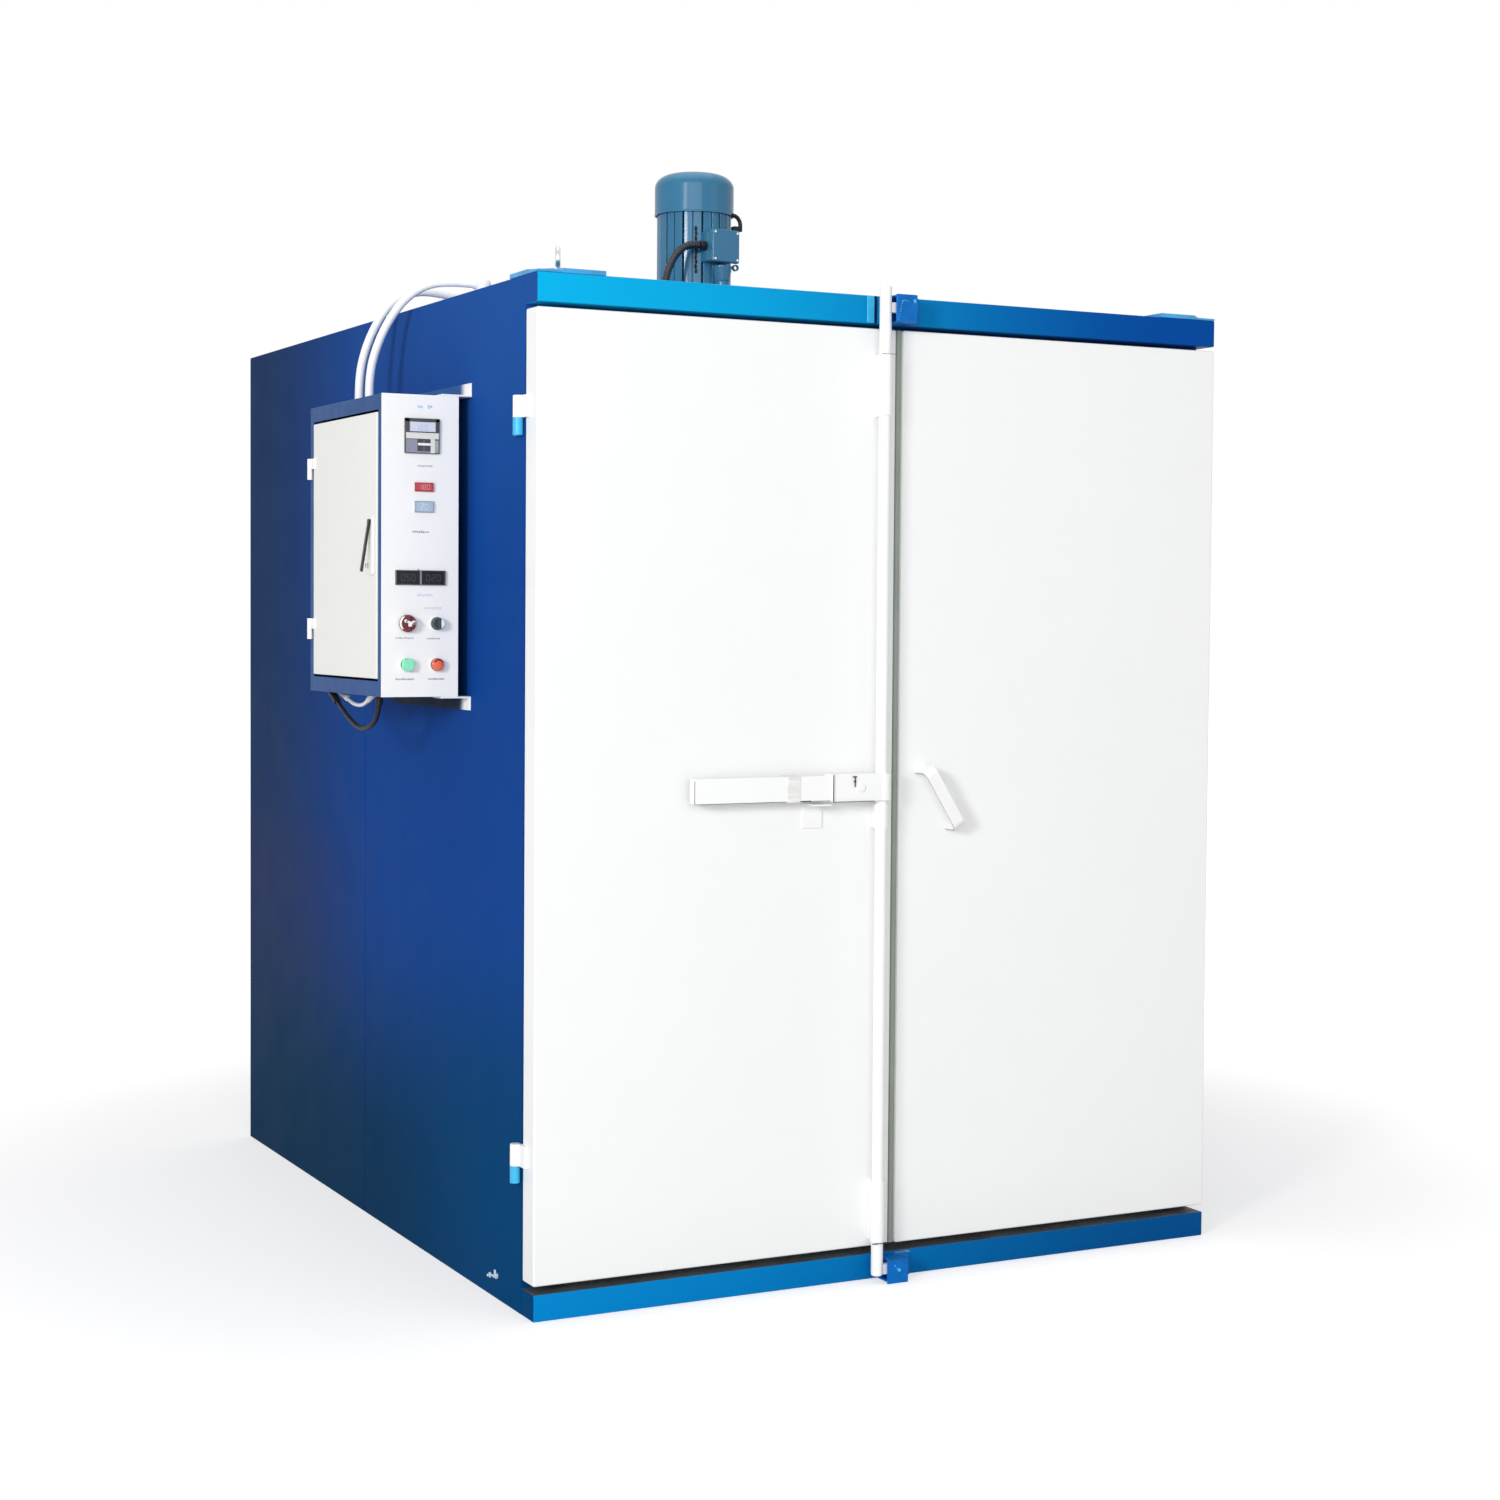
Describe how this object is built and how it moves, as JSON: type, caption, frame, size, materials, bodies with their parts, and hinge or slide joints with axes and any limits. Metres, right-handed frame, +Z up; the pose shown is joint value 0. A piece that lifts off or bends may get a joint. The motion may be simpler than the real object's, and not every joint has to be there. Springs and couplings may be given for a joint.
{
  "type": "powder coating curing oven",
  "caption": "Walk-in batch curing oven with two swinging insulated doors, a locking bar, a roof fan motor and a side control box",
  "frame": {"origin": "middle of the oven body's footprint, on the floor", "axes": "+X right along the front, +Y from the doors to the rear wall, +Z up"},
  "size_m": [2.0015, 2.177, 2.628],
  "materials": {
    "wall_paint": "glossy dark blue powder coat",
    "beam_paint": "glossy bright blue powder coat",
    "roof_paint": "glossy dark blue powder coat",
    "inner_steel": "bare zinc-coated sheet",
    "door_paint": "satin white powder coat",
    "bar_paint": "satin white powder coat",
    "panel_paint": "satin white powder coat",
    "box_paint": "semi-gloss blue powder coat",
    "hinge_paint": "light blue paint",
    "gasket_rubber": "grey-green silicone seal",
    "motor_paint": "semi-gloss motor enamel",
    "zinc_steel": "bright zinc plate",
    "grey_steel": "dull steel",
    "conduit_plastic": "white flexible conduit",
    "black_plastic": "black moulded plastic",
    "black_rubber": "black cable sheath",
    "hose_black": "black corrugated hose",
    "red_screen": "red filter window",
    "blue_screen": "pale blue-grey window",
    "dark_screen": "black counter window",
    "controller_plastic": "dark grey moulding",
    "red_knob": "dark red moulding",
    "dark_knob": "very dark green moulding",
    "green_cap": "green translucent cap",
    "orange_cap": "orange-red translucent cap"
  },
  "bodies": {
    "oven": {"black_cable": "black_rubber", "blue_display": "blue_screen", "box_hinge_pins": "box_paint", "cable_boots": "black_plastic", "conduit_fittings": "conduit_plastic", "control_box_brackets": "panel_paint", "control_box_shell": "box_paint", "control_collars": "zinc_steel", "door_hinge_pins": "hinge_paint", "doorway_gasket": "gasket_rubber", "eye_bolt": "zinc_steel", "floor_panel": "inner_steel", "front_conduit": "conduit_plastic", "header_beam": "beam_paint", "hose_glands": "black_plastic", "instrument_panel": "panel_paint", "left_wall_front": "wall_paint", "left_wall_rear": "wall_paint", "lifting_pads": "beam_paint", "lock_keeps": "beam_paint", "motor_body": "motor_paint", "motor_cowl": "motor_paint", "motor_flange": "motor_paint", "motor_hose": "hose_black", "motor_stool": "motor_paint", "rear_conduit": "conduit_plastic", "rear_wall": "wall_paint", "red_display": "red_screen", "right_wall_front": "wall_paint", "right_wall_rear": "wall_paint", "roof_panel": "roof_paint", "sill_beam": "beam_paint", "temperature_controller": "controller_plastic", "terminal_box": "motor_paint", "twin_counter": "dark_screen", "white_cable": "conduit_plastic"},
    "left_door": {"left_door_leaf": "door_paint", "left_door_knuckles": "door_paint", "bar_guides": "bar_paint", "lever_catch": "door_paint"},
    "right_door": {"right_door_leaf": "door_paint", "right_door_knuckles": "door_paint", "pull_handle": "door_paint", "meeting_seal": "gasket_rubber"},
    "lock_bar": {"locking_bar": "bar_paint", "lock_tongues": "bar_paint", "lever_case": "bar_paint", "lever_channel": "bar_paint", "lever_sleeve": "grey_steel"},
    "box_door": {"box_door_leaf": "panel_paint", "box_door_knuckles": "panel_paint", "box_handle_base": "panel_paint"},
    "box_lever": {"box_lever": "black_plastic"},
    "left_knob": {"left_knob": "red_knob"},
    "right_knob": {"right_knob": "dark_knob"},
    "green_button": {"green_button": "green_cap"},
    "orange_button": {"orange_button": "orange_cap"}
  },
  "joints": [
    {"name": "left_door", "type": "hinge", "parent": "oven", "child": "left_door", "pos_m": [-0.882, -0.9825, 1.1], "axis": [0, 0, -1], "range_deg": [0, 180]},
    {"name": "right_door", "type": "hinge", "parent": "oven", "child": "right_door", "pos_m": [0.882, -0.9825, 1.1], "axis": [0, 0, 1], "range_deg": [0, 180]},
    {"name": "lock_bar", "type": "hinge", "parent": "left_door", "child": "lock_bar", "pos_m": [-0.059, -1.0955, 1.113], "axis": [0, 0, 1], "range_deg": [0, 100]},
    {"name": "box_door", "type": "hinge", "parent": "oven", "child": "box_door", "pos_m": [-1.0855, -0.1915, 1.636], "axis": [0, 0, -1], "range_deg": [0, 120]},
    {"name": "box_lever", "type": "hinge", "parent": "box_door", "child": "box_lever", "pos_m": [-1.0903, -0.6285, 1.688], "axis": [1, 0, 0], "range_deg": [0, 90]},
    {"name": "left_knob", "type": "hinge", "parent": "oven", "child": "left_knob", "pos_m": [-1.021, -0.6969, 1.467], "axis": [0, -1, 0], "range_deg": [-45, 45]},
    {"name": "right_knob", "type": "hinge", "parent": "oven", "child": "right_knob", "pos_m": [-0.952, -0.6969, 1.467], "axis": [0, -1, 0], "range_deg": [-45, 45]},
    {"name": "green_button", "type": "slide", "parent": "oven", "child": "green_button", "axis": [0, 1, 0], "range_m": [0, 0.004], "stiffness_N_per_m": 500},
    {"name": "orange_button", "type": "slide", "parent": "oven", "child": "orange_button", "axis": [0, 1, 0], "range_m": [0, 0.004], "stiffness_N_per_m": 500}
  ]
}
